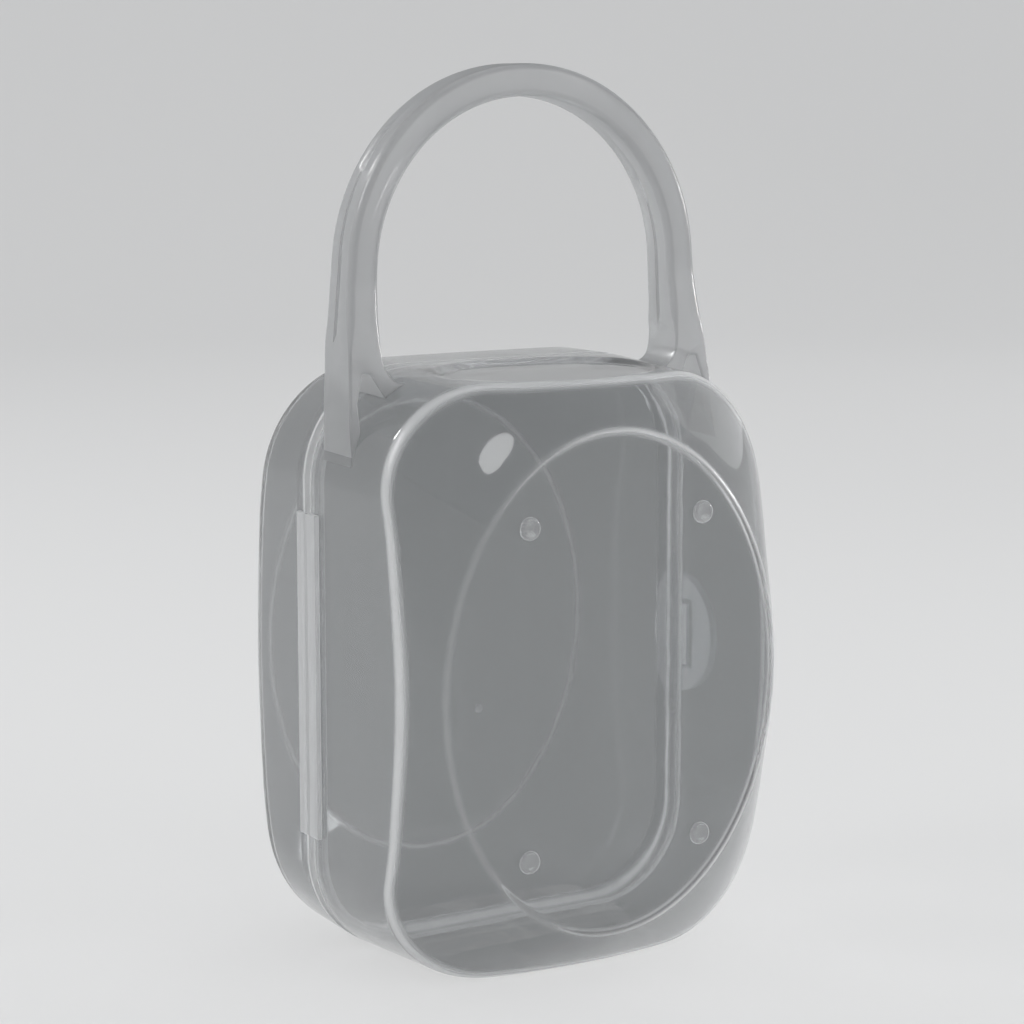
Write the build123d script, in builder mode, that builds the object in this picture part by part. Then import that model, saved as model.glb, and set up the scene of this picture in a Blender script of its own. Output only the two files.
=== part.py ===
from build123d import *
from math import cos, radians, sin, tan
import os

# Pacifier sterilizer case: two clear moulded half shells on one long living hinge, a half-moon snap
# latch on the other side and an arched carry handle that grows out of the front shell's shoulders.
# Millimetres. X runs across (hinge at -X, latch at +X), Y from the front (-) to the back (+), Z up.
# The origin is on the base, under the middle of the case's depth. Values named for a distance along
# the depth count from the seam, which is the plane of the back shell's edge.

os.makedirs("parts", exist_ok=True)

# Case body
case_width = 80.0
case_height = 106.57          # standing height of the closed case
base_flat = 0.57              # taken off the rounded section's underside so that the case stands
wall = 1.3
seam_corner = 20.0            # corner radius of both shells at the seam
front_side_draft = 2.35       # degrees, all side walls of the front shell
back_side_draft = 1.1         # degrees, left and right walls of the back shell
back_corner_growth = 0.05     # the back shell's corners open up by this much per mm of depth
front_depth = 38.65
back_depth = 27.0
seam_gap = 1.7                # shadow gap between the two edges, bridged inside by the seal lip
part_clearance = 0.3          # air between pieces that move past each other

# Oval faces and the crowns that run from them to the side walls
front_oval_x = 34.1
front_oval_z = 44.5
back_oval_x = 34.15
back_oval_z = 44.85
front_crown_base = 20.0       # distance from the seam where the crown's foot outline is drawn
front_crown_x = 45.0
front_crown_z = 61.9
front_crown_corner = 28.6
front_crown_side_angle = 23.4
front_crown_top_angle = 15.0
back_crown_base = 10.0
back_crown_x = 49.0
back_crown_z = 55.9
back_crown_corner = 19.85
back_crown_side_angle = 21.8
back_crown_top_angle = 28.4

# Seal lip, on the back shell
lip_reach = 3.8
lip_thickness = 0.9
lip_root = 4.0
lip_lead = 0.3

# Finger dish in the front shell's top wall
dish_depth = 0.7
dish_end_gap = 18.0           # from the dish's ends to the case's sides
dish_y = 13.8
dish_centre_y = -15.8

# Rest pips on the front oval
pip_spacing_x = 35.6
pip_spacing_z = 57.8
pip_radius = 2.0
pip_height = 0.7
pip_round = 0.35

# Gate mark on the back oval
gate_x = 11.0
gate_drop = 18.1
gate_radius = 0.9
gate_height = 0.6

# Carry handle
arch_rise = 16.7              # arch centre above the top of the case
arch_side_gap = 4.0           # the arch stands in from the case's sides by this much
arch_thickness = 5.75
handle_depth = 8.0
handle_middle_y = -6.2
handle_round = 1.1
leg_splay = 4.9               # degrees, outer face of each leg
leg_inner_splay = 2.9         # degrees, inner face of each leg
foot_height = 3.7             # height above the top wall where the forked foot begins
foot_flare = 4.2              # reach of the flare from the leg along the top wall
flare_sink = 1.9              # the flare runs out this far below the top wall
leg_step_front = 4.2          # the leg's front face comes forward by this much at its toe
leg_step_back = 2.8           # the leg's back face comes forward by this much at its toe
leg_step_drop = 14.3          # the toe's end below the top of the case
leg_step_start = 2.0          # the front face starts forward this far below the arch centre
leg_blend = 2.0               # the back face starts forward this far above the foot
toe_tuck = 8.0                # the toe is drawn this far into the shell before it is trimmed
groove_width = 1.0
groove_depth = 0.5
groove_shift = 1.2            # 1 lets the groove run out at the crown, more lets it end lower
strut_thickness = 2.3         # outer strut of the foot at the shoulder
strut_neck = 2.45             # outer strut at the window's top
window_top_drop = 0.2         # top of the foot's cored window below the top of the case
window_top_width = 1.6
window_knee_drop = 5.0        # the window's outer side turns down this far below the top of the case
window_foot_spread = 3.1      # the window's inner side leans in by this much at the shell

# Living hinge
hinge_length = 58.2
hinge_drop = 0.9              # the hinge's middle lies this much below mid height
leaf_thickness = 0.8
leaf_width = 3.3
hinge_centre_y = -1.6
web_width = 0.4
web_film = 0.3
hinge_air = 0.2               # the axis runs this much outside the leaves

# Latch
latch_drop = 1.6              # the latch's middle lies this much below mid height
tongue_radius = 11.6
tongue_centre_y = 1.0
tongue_thickness = 1.2
tongue_air = 0.7              # tongue's inner face off the case side
rim_band = 2.0
rim_height = 0.5
window_height = 13.4
window_width = 3.9
window_front_y = -4.4
catch_height = 12.0
catch_proud = 0.45
catch_front_y = -4.0
catch_back_y = -2.0
pad_radius = 17.8
pad_reach = 6.8
pad_edge_thickness = 0.7
latch_split_back = 1.0        # where the pad ends
latch_split_front = 0.2       # where the tongue begins
latch_film = 0.3
latch_film_length = 20.0
land_length = 32.5

case_middle = (case_height - base_flat) / 2
seam_y = (front_depth - back_depth) / 2
top_slope = tan(radians(front_side_draft))
side_slope_back = tan(radians(back_side_draft))


def section_plane(y, height):
    """Upright plane across the case, y behind the seam, with its origin at a given height."""
    return Plane(origin=(0, seam_y + y, height), x_dir=(1, 0, 0), z_dir=(0, -1, 0))


def level_plane(height):
    """Level plane at a given height, with its origin in the seam."""
    return Plane(origin=(0, seam_y, height), x_dir=(1, 0, 0), z_dir=(0, 0, 1))


def wall_section(side, distance, inset):
    """Width, height and corner radius of the side walls, a distance from the seam."""
    if side < 0:
        side_loss = distance * top_slope
        height_loss = side_loss
        corner = seam_corner
    else:
        side_loss = distance * side_slope_back
        height_loss = 0
        corner = seam_corner + distance * back_corner_growth
    width = case_width - 2 * side_loss - 2 * inset
    height = case_height + base_flat - 2 * height_loss - 2 * inset
    return width, height, corner - inset


def wall_block(side, near, far, inset):
    """Solid bounded by the four side walls, from one distance off the seam to another."""
    with BuildPart() as block:
        for distance in (near, far):
            width, height, corner = wall_section(side, distance, inset)
            with BuildSketch(section_plane(side * distance, case_middle)):
                RectangleRounded(width, height, corner)
        loft(ruled=True)
    return block.part


def crown_block(side, depth, oval_x, oval_z, base, base_x, base_z, corner, side_angle, top_angle):
    """Ruled crown from the flat oval to a rounded outline that lies outside the side walls.

    Both outlines have four flanks and four corners, so each flank of the outline meets the stretch of
    oval that faces it.
    """
    angles = [
        -side_angle, side_angle, 90 - top_angle, 90 + top_angle,
        180 - side_angle, 180 + side_angle, 270 - top_angle, 270 + top_angle, 360 - side_angle,
    ]
    flat_x = base_x - corner
    flat_z = base_z - corner
    diagonal = corner * cos(radians(45))
    with BuildPart() as crown:
        with BuildSketch(section_plane(side * depth, case_middle)):
            with BuildLine():
                for start, end in zip(angles[:-1], angles[1:]):
                    EllipticalCenterArc((0, 0), oval_x, oval_z, start_angle=start, arc_size=end - start)
            make_face()
        with BuildSketch(section_plane(side * base, case_middle)):
            with BuildLine():
                Line((base_x, -flat_z), (base_x, flat_z))
                ThreePointArc((base_x, flat_z), (flat_x + diagonal, flat_z + diagonal), (flat_x, base_z))
                Line((flat_x, base_z), (-flat_x, base_z))
                ThreePointArc((-flat_x, base_z), (-flat_x - diagonal, flat_z + diagonal), (-base_x, flat_z))
                Line((-base_x, flat_z), (-base_x, -flat_z))
                ThreePointArc((-base_x, -flat_z), (-flat_x - diagonal, -flat_z - diagonal), (-flat_x, -base_z))
                Line((-flat_x, -base_z), (flat_x, -base_z))
                ThreePointArc((flat_x, -base_z), (flat_x + diagonal, -flat_z - diagonal), (base_x, -flat_z))
            make_face()
        loft(ruled=True)
    return crown.part


def shell_form(side, inset, near):
    """The outer (inset 0) or inner (inset of one wall) form of a half shell, as a solid."""
    # The crown's slopes stand at about 50 degrees, so an inset crown moves in by half a wall
    # across and a whole wall along the depth.
    across = inset * 0.5
    if side < 0:
        depth = front_depth - inset
        base = front_crown_base - inset
        crown = crown_block(
            side, depth, front_oval_x - across, front_oval_z - across, base,
            front_crown_x - across, front_crown_z - across, front_crown_corner - across,
            front_crown_side_angle, front_crown_top_angle,
        )
    else:
        depth = back_depth - inset
        base = back_crown_base - inset
        crown = crown_block(
            side, depth, back_oval_x - across, back_oval_z - across, base,
            back_crown_x - across, back_crown_z - across, back_crown_corner - across,
            back_crown_side_angle, back_crown_top_angle,
        )
    walls = wall_block(side, near, depth, inset)
    skirt_depth = base - near
    with BuildPart() as skirt:
        with BuildSketch(section_plane(side * base, case_middle)):
            Rectangle(2 * case_width, 2 * case_height)
        extrude(amount=side * skirt_depth)
    with BuildPart() as envelope:
        add(crown)
        add(skirt.part)
    with BuildPart() as form:
        add(walls)
        add(envelope.part, mode=Mode.INTERSECT)
        with BuildSketch(level_plane(inset)):
            Rectangle(2 * case_width, 4 * (front_depth + back_depth))
        extrude(amount=-seam_corner, mode=Mode.SUBTRACT)
    return form.part


# ---- Front shell: walls, crown, oval face and the shallow finger dish between the handle's feet
front_outer = shell_form(-1, 0, seam_gap)
front_inner = shell_form(-1, wall, seam_gap - 1)
top_wall_plane = Plane(
    origin=(0, seam_y, case_height - dish_depth), x_dir=(1, 0, 0), z_dir=(0, -top_slope, 1)
)
with BuildPart() as dish:
    with BuildSketch(top_wall_plane):
        with Locations((0, dish_centre_y)):
            Ellipse(case_width / 2 - dish_end_gap, dish_y)
    extrude(amount=wall + 2)
with BuildPart() as front_shell:
    add(front_outer)
    add(front_inner, mode=Mode.SUBTRACT)
    add(dish.part, mode=Mode.SUBTRACT)
front_shell.part.label = "front_shell"

# ---- Back shell, with the land that fills the seam gap behind the latch
back_outer = shell_form(1, 0, 0)
back_inner = shell_form(1, wall, -1)
latch_middle = case_height / 2 - latch_drop
land_reach = seam_gap - part_clearance
with BuildPart() as back_shell:
    add(back_outer)
    add(back_inner, mode=Mode.SUBTRACT)
    with BuildSketch(section_plane(0, latch_middle)):
        with Locations((case_width / 2 - wall / 2, 0)):
            Rectangle(wall, land_length)
    extrude(amount=land_reach)
back_shell.part.label = "back_shell"

# ---- Seal lip: a thin band inside the back shell that slides into the front shell's mouth
lip_inset = wall + part_clearance + lip_reach * top_slope
lip_bottom = wall + part_clearance
lip_top = case_height - lip_inset
root_inset = wall / 2
with BuildPart() as seal_lip:
    with BuildSketch(section_plane(-lip_reach, (lip_top + lip_bottom) / 2)):
        RectangleRounded(case_width - 2 * lip_inset, lip_top - lip_bottom, seam_corner - lip_inset)
    extrude(amount=-(lip_reach + lip_root))
    chamfer(seal_lip.faces().sort_by(Axis.Y)[0].edges(), lip_lead)
    with BuildSketch(section_plane(0, case_height / 2)):
        RectangleRounded(
            case_width - 2 * root_inset, case_height - 2 * root_inset, seam_corner - root_inset
        )
    extrude(amount=-lip_root)
    with BuildSketch(section_plane(-lip_reach - lip_lead, (lip_top + lip_bottom) / 2)):
        RectangleRounded(
            case_width - 2 * lip_inset - 2 * lip_thickness,
            lip_top - lip_bottom - 2 * lip_thickness,
            seam_corner - lip_inset - lip_thickness,
        )
    extrude(amount=-2 * (lip_reach + lip_root), mode=Mode.SUBTRACT)
    add(back_shell.part, mode=Mode.SUBTRACT)
seal_lip.part.label = "seal_lip"

# ---- Rest pips: four low buttons that carry the case when it lies on its face
pips = []
for name, sign_x, sign_z in (
    ("pip_top_left", -1, 1),
    ("pip_top_right", 1, 1),
    ("pip_bottom_left", -1, -1),
    ("pip_bottom_right", 1, -1),
):
    with BuildPart() as pip:
        with BuildSketch(section_plane(-front_depth, case_middle)):
            with Locations((sign_x * pip_spacing_x / 2, sign_z * pip_spacing_z / 2)):
                Circle(pip_radius)
        extrude(amount=pip_height)
        fillet(pip.faces().sort_by(Axis.Y)[0].edges(), pip_round)
    pip.part.label = name
    pips.append(pip.part)

# ---- Gate mark on the back oval
with BuildPart() as gate_mark:
    with BuildSketch(section_plane(back_depth, case_middle - gate_drop)):
        with Locations((gate_x, 0)):
            Circle(gate_radius)
    extrude(amount=-gate_height, taper=12)
gate_mark.part.label = "gate_mark"

# ---- Carry handle: arch and two legs in one front outline, cut to one side outline
arch_centre = case_height + arch_rise
arch_outer = case_width / 2 - arch_side_gap
arch_inner = arch_outer - arch_thickness
foot_top = case_height + foot_height
toe = case_height - leg_step_drop
leg_drop = arch_centre - toe
outer_toe_x = arch_outer + leg_drop * tan(radians(leg_splay))
handle_front = handle_middle_y - handle_depth / 2
handle_back = handle_middle_y + handle_depth / 2


def handle_side_outline():
    """Side view of the handle: straight arch, legs that step forward towards their toes."""
    with BuildPart() as outline:
        with BuildSketch(Plane(origin=(0, seam_y, 0), x_dir=(0, 1, 0), z_dir=(1, 0, 0))):
            with BuildLine():
                Polyline(
                    (handle_front, arch_centre + arch_outer + 1),
                    (handle_front, arch_centre - leg_step_start),
                    (handle_front - leg_step_front, toe),
                    (handle_front - leg_step_front, toe - toe_tuck),
                    (handle_back - leg_step_back, toe - toe_tuck),
                    (handle_back - leg_step_back, toe),
                    (handle_back, foot_top + leg_blend),
                    (handle_back, arch_centre + arch_outer + 1),
                    close=True,
                )
            make_face()
        extrude(amount=case_width, both=True)
    return outline.part


def groove_cutter():
    """Everything outside and inside a slightly slimmer arch, one groove width thick.

    The slimmer arch's circles are shifted past the real ones at the crown, so the groove runs out
    on the way up.
    """
    slim_outer = arch_outer - groove_depth
    slim_inner = arch_inner + groove_depth
    outer_centre = arch_centre + groove_shift * groove_depth
    inner_centre = arch_centre - groove_shift * groove_depth
    low = foot_top + 1.5
    outer_low = slim_outer + (outer_centre - low) * tan(radians(leg_splay))
    inner_low_edge = slim_inner + (inner_centre - low) * tan(radians(leg_inner_splay))
    with BuildPart() as cutter:
        with BuildSketch(section_plane(handle_middle_y + groove_width / 2, 0)):
            with Locations((0, (low + arch_centre + arch_outer + 4) / 2)):
                Rectangle(2 * outer_low + 6, arch_centre + arch_outer + 4 - low)
            with BuildLine():
                CenterArc((0, outer_centre), slim_outer, 0, 180)
                Line((-slim_outer, outer_centre), (-outer_low, low))
                Line((-outer_low, low), (-inner_low_edge, low))
                Line((-inner_low_edge, low), (-slim_inner, inner_centre))
                CenterArc((0, inner_centre), slim_inner, 0, 180)
                Line((slim_inner, inner_centre), (inner_low_edge, low))
                Line((inner_low_edge, low), (outer_low, low))
                Line((outer_low, low), (slim_outer, outer_centre))
            make_face(mode=Mode.SUBTRACT)
        extrude(amount=groove_width)
    return cutter.part


side_outline = handle_side_outline()
arch_groove = groove_cutter()
arch_low_outer_x = arch_outer + (arch_centre - foot_top) * tan(radians(leg_splay))
arch_low_inner_x = arch_inner + (arch_centre - foot_top) * tan(radians(leg_inner_splay))
with BuildPart() as handle_arch:
    with BuildSketch(section_plane(0, 0)):
        with BuildLine():
            CenterArc((0, arch_centre), arch_outer, 0, 180)
            Line((-arch_outer, arch_centre), (-arch_low_outer_x, foot_top))
            Line((-arch_low_outer_x, foot_top), (-arch_low_inner_x, foot_top))
            Line((-arch_low_inner_x, foot_top), (-arch_inner, arch_centre))
            CenterArc((0, arch_centre), arch_inner, 0, 180)
            Line((arch_inner, arch_centre), (arch_low_inner_x, foot_top))
            Line((arch_low_inner_x, foot_top), (arch_low_outer_x, foot_top))
            Line((arch_low_outer_x, foot_top), (arch_outer, arch_centre))
        make_face()
    extrude(amount=2 * handle_depth, both=True)
    add(side_outline, mode=Mode.INTERSECT)
    long_edges = (
        handle_arch.edges()
        .filter_by(lambda edge: abs(edge.center().Z - foot_top) > 0.01)
        .filter_by(lambda edge: edge.length > 5)
        .filter_by(lambda edge: abs(edge.tangent_at(0.5).X) < 0.999 or edge.length > 12)
    )
    fillet(long_edges, handle_round)
    add(arch_groove, mode=Mode.SUBTRACT)
handle_arch.part.label = "handle_arch"

# ---- Forked feet: an outer strut that runs down the shoulder and a flared web on the top wall,
# with a cored three-cornered window between them
feet = []
flare_end_x = arch_low_inner_x - foot_flare
flare_end_z = case_height - flare_sink
flare_middle_x = arch_low_inner_x - foot_flare * (1 - cos(radians(45)))
flare_middle_z = foot_top - (foot_top - flare_end_z) * sin(radians(45))
window_top = case_height - window_top_drop
window_knee = case_height - window_knee_drop
window_out_x = arch_outer + (arch_centre - window_top) * tan(radians(leg_splay)) - strut_neck
window_in_x = window_out_x - window_top_width
knee_x = arch_outer + (arch_centre - window_knee) * tan(radians(leg_splay)) - strut_thickness * 2 / 3
strut_in_x = outer_toe_x - strut_thickness
for name, side in (("handle_foot_left", -1), ("handle_foot_right", 1)):
    with BuildPart() as foot:
        with BuildSketch(section_plane(0, 0)):
            with BuildLine():
                Polyline(
                    (side * arch_low_inner_x, foot_top),
                    (side * arch_low_outer_x, foot_top),
                    (side * outer_toe_x, toe),
                    (side * (outer_toe_x - strut_thickness), toe),
                    (side * flare_end_x, case_height - toe_tuck),
                    (side * flare_end_x, flare_end_z),
                )
                ThreePointArc(
                    (side * flare_end_x, flare_end_z),
                    (side * flare_middle_x, flare_middle_z),
                    (side * arch_low_inner_x, foot_top),
                )
            make_face()
            with BuildLine():
                Polyline(
                    (side * window_in_x, window_top),
                    (side * window_out_x, window_top),
                    (side * knee_x, window_knee),
                    (side * strut_in_x, toe),
                    (side * (window_in_x - window_foot_spread), toe),
                    (side * (window_in_x - window_foot_spread), window_knee),
                    close=True,
                )
            make_face(mode=Mode.SUBTRACT)
        extrude(amount=2 * handle_depth, both=True)
        add(side_outline, mode=Mode.INTERSECT)
        add(front_outer, mode=Mode.SUBTRACT)
    foot.part.label = name
    feet.append(foot.part)

# ---- Living hinge: a leaf on each shell and the film between them
hinge_middle = case_height / 2 - hinge_drop
leaf_outer_x = -case_width / 2 - leaf_thickness
split_front = hinge_centre_y - web_width / 2
split_back = hinge_centre_y + web_width / 2


def hinge_strip(y_from, y_to, x_from, x_to):
    """Upright strip of the hinge's length between two Y and two X values."""
    with BuildPart() as strip:
        with BuildSketch(level_plane(hinge_middle - hinge_length / 2)):
            with Locations(((x_from + x_to) / 2, (y_from + y_to) / 2)):
                Rectangle(abs(x_to - x_from), abs(y_to - y_from))
        extrude(amount=hinge_length)
    return strip.part


front_leaf_block = hinge_strip(split_front - leaf_width + 0.1, split_front, leaf_outer_x, 1 - case_width / 2)
back_leaf_block = hinge_strip(split_back, split_back + leaf_width, leaf_outer_x, -case_width / 2 - 0.05)
back_root_block = hinge_strip(0, split_back + leaf_width, leaf_outer_x, 1 - case_width / 2)
with BuildPart() as hinge_leaf_front:
    add(front_leaf_block)
    add(front_outer, mode=Mode.SUBTRACT)
hinge_leaf_front.part.label = "hinge_leaf_front"
with BuildPart() as hinge_leaf_back:
    add(back_leaf_block)
    add(back_root_block)
    add(back_outer, mode=Mode.SUBTRACT)
hinge_leaf_back.part.label = "hinge_leaf_back"
with BuildPart() as hinge_film:
    add(hinge_strip(split_front, split_back, leaf_outer_x, leaf_outer_x + web_film))
hinge_film.part.label = "hinge_film"

# ---- Latch: a lens-shaped pad on the back shell carries a half-moon tongue on a film; the tongue's
# window takes the front shell's catch
tongue_inner_x = case_width / 2 + tongue_air
tongue_outer_x = tongue_inner_x + tongue_thickness


def side_plane(x):
    """Plane on the latch side: local X runs to the back from the seam, local Y up, normal outwards."""
    return Plane(origin=(x, seam_y, latch_middle), x_dir=(0, 1, 0), z_dir=(1, 0, 0))


with BuildPart() as latch_pad:
    with BuildSketch(side_plane(case_width / 2 - 1)):
        with Locations((pad_reach - pad_radius, 0)):
            Circle(pad_radius)
        with Locations((latch_split_back - 2 * pad_radius, 0)):
            Rectangle(4 * pad_radius, 4 * pad_radius, mode=Mode.SUBTRACT)
    extrude(amount=tongue_outer_x - case_width / 2 + 1)
    with BuildSketch(level_plane(latch_middle - pad_radius)):
        with BuildLine():
            Polyline(
                (tongue_outer_x, latch_split_back),
                (tongue_outer_x, latch_split_back + 0.6),
                (case_width / 2 + pad_edge_thickness, pad_reach),
                (case_width / 2 + pad_edge_thickness, pad_reach + 1),
                (tongue_outer_x + 2, pad_reach + 1),
                (tongue_outer_x + 2, latch_split_back),
                close=True,
            )
        make_face()
    extrude(amount=2 * pad_radius, mode=Mode.SUBTRACT)
    add(back_outer, mode=Mode.SUBTRACT)
latch_pad.part.label = "latch_pad"

with BuildPart() as latch_tongue:
    with BuildSketch(side_plane(tongue_inner_x)):
        with Locations((tongue_centre_y, 0)):
            Circle(tongue_radius)
        with Locations((latch_split_front + 2 * tongue_radius, 0)):
            Rectangle(4 * tongue_radius, 4 * tongue_radius, mode=Mode.SUBTRACT)
        with Locations((window_front_y + window_width / 2, 0)):
            RectangleRounded(window_width, window_height, 0.8, mode=Mode.SUBTRACT)
    extrude(amount=tongue_thickness)
latch_tongue.part.label = "latch_tongue"

with BuildPart() as latch_rim:
    with BuildSketch(side_plane(tongue_outer_x)):
        with Locations((tongue_centre_y, 0)):
            Circle(tongue_radius)
            Circle(tongue_radius - rim_band, mode=Mode.SUBTRACT)
        with Locations((latch_split_front + 2 * tongue_radius, 0)):
            Rectangle(4 * tongue_radius, 4 * tongue_radius, mode=Mode.SUBTRACT)
    extrude(amount=rim_height)
latch_rim.part.label = "latch_rim"

with BuildPart() as latch_film_strip:
    with BuildSketch(side_plane(tongue_inner_x)):
        with Locations(((latch_split_front + latch_split_back) / 2, 0)):
            Rectangle(latch_split_back - latch_split_front, latch_film_length)
    extrude(amount=latch_film)
latch_film_strip.part.label = "latch_film"

with BuildPart() as catch_bar:
    with BuildSketch(level_plane(latch_middle - catch_height / 2)):
        with BuildLine():
            Polyline(
                (case_width / 2 - 1, catch_front_y),
                (case_width / 2 - 0.1, catch_front_y),
                (case_width / 2 + catch_proud, catch_front_y + 1.2),
                (case_width / 2 + catch_proud, catch_back_y),
                (case_width / 2 - 1, catch_back_y),
                close=True,
            )
        make_face()
    extrude(amount=catch_height)
    add(front_outer, mode=Mode.SUBTRACT)
catch_bar.part.label = "catch_bar"

# ---- Files
export_step(front_shell.part, "parts/front_shell.step")
export_step(back_shell.part, "parts/back_shell.step")
export_step(seal_lip.part, "parts/seal_lip.step")
for pip_part in pips:
    export_step(pip_part, f"parts/{pip_part.label}.step")
export_step(gate_mark.part, "parts/gate_mark.step")
export_step(handle_arch.part, "parts/handle_arch.step")
for foot_part in feet:
    export_step(foot_part, f"parts/{foot_part.label}.step")
export_step(hinge_leaf_front.part, "parts/hinge_leaf_front.step")
export_step(hinge_leaf_back.part, "parts/hinge_leaf_back.step")
export_step(hinge_film.part, "parts/hinge_film.step")
export_step(latch_pad.part, "parts/latch_pad.step")
export_step(latch_tongue.part, "parts/latch_tongue.step")
export_step(latch_rim.part, "parts/latch_rim.step")
export_step(latch_film_strip.part, "parts/latch_film.step")
export_step(catch_bar.part, "parts/catch_bar.step")
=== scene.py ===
from math import cos, pi, radians, sin, sqrt, tan
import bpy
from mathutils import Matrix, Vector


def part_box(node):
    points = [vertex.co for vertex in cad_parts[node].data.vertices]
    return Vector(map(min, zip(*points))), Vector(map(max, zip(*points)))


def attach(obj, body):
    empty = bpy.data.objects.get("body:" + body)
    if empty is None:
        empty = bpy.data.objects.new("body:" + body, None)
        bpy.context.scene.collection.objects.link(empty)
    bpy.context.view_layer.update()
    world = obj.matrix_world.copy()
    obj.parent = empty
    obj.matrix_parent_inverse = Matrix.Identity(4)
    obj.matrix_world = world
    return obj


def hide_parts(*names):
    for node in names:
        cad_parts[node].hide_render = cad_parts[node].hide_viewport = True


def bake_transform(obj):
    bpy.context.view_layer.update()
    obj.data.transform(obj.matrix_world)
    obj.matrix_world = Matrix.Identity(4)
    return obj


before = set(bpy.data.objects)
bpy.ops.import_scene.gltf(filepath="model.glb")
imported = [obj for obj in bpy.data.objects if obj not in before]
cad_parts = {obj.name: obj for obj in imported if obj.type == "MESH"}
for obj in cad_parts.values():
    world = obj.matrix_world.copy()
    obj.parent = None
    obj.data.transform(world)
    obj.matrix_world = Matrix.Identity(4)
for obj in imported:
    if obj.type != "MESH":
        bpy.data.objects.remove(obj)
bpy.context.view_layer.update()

from types import SimpleNamespace

import bpy
import numpy as np
from bpy.props import FloatProperty, FloatVectorProperty, PointerProperty
from mathutils import Quaternion, Vector

bl_info = {
    "name": "Pacifier Sterilizer Case",
    "version": (1, 0, 0),
    "blender": (4, 5, 0),
    "location": "View3D > Sidebar > Sterilizer Case",
    "description": "Clear two-shell pacifier sterilizer case with its carry handle, hinge and latch",
    "category": "Add Mesh",
}

MM = 0.001
FRONT, BACK = -1, 1


# ---------------------------------------------------------------- sizes and colours


def length(name, description, default_mm):
    """A size in millimetres as a Blender length."""
    return FloatProperty(
        name=name, description=description, default=default_mm * MM, min=0.0, unit="LENGTH", precision=5
    )


def angle(name, description, default_degrees):
    """An angle in degrees as a Blender rotation."""
    return FloatProperty(
        name=name, description=description, default=radians(default_degrees), unit="ROTATION"
    )


def amount(name, description, default, high=1.0):
    """A plain number from nought up."""
    return FloatProperty(name=name, description=description, default=default, min=0.0, max=high)


def colour(name, description, default):
    """A linear colour."""
    return FloatVectorProperty(
        name=name, description=description, default=default, min=0.0, max=1.0, subtype="COLOR"
    )


def opaque(tint, shade=1.0):
    """A linear colour with its opacity, darkened by a shade."""
    return (*(shade * v for v in tint[:3]), 1.0)


def node_span(node, axis):
    """Lowest and highest place of a CAD node along an axis, in millimetres."""
    low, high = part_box(node)
    return low[axis] / MM, high[axis] / MM


case_left, case_right = node_span("back_shell", 0)
case_top = node_span("back_shell", 2)[1]
front_face, front_edge = node_span("front_shell", 1)
back_face = node_span("back_shell", 1)[1]
arch_top = node_span("handle_arch", 2)[1]


class CaseSizes(bpy.types.PropertyGroup):
    """Sizes of the case, all taken over from the CAD model."""

    case_width: length("Case width", "Across both shells at the seam", case_right - case_left)
    case_height: length("Case height", "Standing height of the closed case", case_top)
    base_flat: length("Base flat", "Taken off the underside so that the case stands", 0.57)
    wall: length("Wall", "Wall thickness of both shells", 1.3)
    seam_gap: length("Seam gap", "Shadow gap between the shells' edges", 1.7)
    seam_corner: length("Corner radius", "Corner radius of both shells at the seam", 20.0)
    rim_round: length("Rim rounding", "Rounding where the crown meets the side walls", 1.5)
    oval_round: length("Oval rounding", "Rounding of the edge of the oval faces", 0.45)
    mouth_round: length("Mouth rounding", "Rounding of the two shells' open edges", 0.25)
    front_draft: angle("Front draft", "Draft of the front shell's side walls", 2.35)
    back_draft: angle("Back draft", "Draft of the back shell's left and right walls", 1.1)
    dish_depth: length("Dish depth", "Depth of the finger dish in the top wall", 0.7)
    arch_thickness: length("Arch thickness", "Handle seen from the front", 5.75)
    handle_depth: length("Handle depth", "Handle seen from the side", 8.0)
    foot_height: length("Foot height", "Height above the top wall where the forked feet begin", 3.7)
    toe_drop: length("Toe drop", "How far below the top wall the handle's outer toes end", 14.3)
    handle_round: length("Handle rounding", "Rounding of the handle's long edges", 1.3)
    foot_round: length("Foot rounding", "Rounding of the forked feet's edges", 0.45)
    groove_depth: length("Groove depth", "Parting groove round the handle's edge", 0.5)
    latch_drop: length("Latch drop", "How far the latch sits below the middle of the case", 1.6)
    latch_lift: length("Latch lift", "Gap between the right side wall and the latch's tongue", 0.7)
    tongue_radius: length("Tongue radius", "Half-moon latch tongue", 11.6)
    rim_band: length("Latch rim band", "Width of the raised band on the latch tongue", 2.0)
    pip_radius: length("Pip radius", "Rest pips on the front oval", 2.0)
    hinge_length: length("Hinge length", "Both leaves of the living hinge", 58.2)


class CaseFinish(bpy.types.PropertyGroup):
    """Colours and finish of the clear plastic."""

    wall_colour: colour("Wall plastic", "Clear polypropylene of the shells", (0.52, 0.53, 0.535))
    handle_colour: colour("Handle plastic", "Thick polypropylene of the handle", (0.78, 0.785, 0.79))
    milk_colour: colour("Milky edges", "Light that the shells' thick edges scatter", (0.72, 0.725, 0.73))
    handle_milk: colour("Milky handle", "Light that the thick handle scatters", (0.43, 0.435, 0.44))
    hinge_milk: colour("Milky hinge", "Light that the hinge's bars scatter", (0.6, 0.605, 0.61))
    latch_colour: colour("Latch plastic", "Light that the satin latch scatters", (0.9, 0.905, 0.91))
    wall_roughness: amount("Wall roughness", "Polished mould finish", 0.015)
    handle_roughness: amount("Handle roughness", "Finish of the handle", 0.12)
    latch_roughness: amount("Latch roughness", "Fine satin finish of the latch", 0.22)


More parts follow.
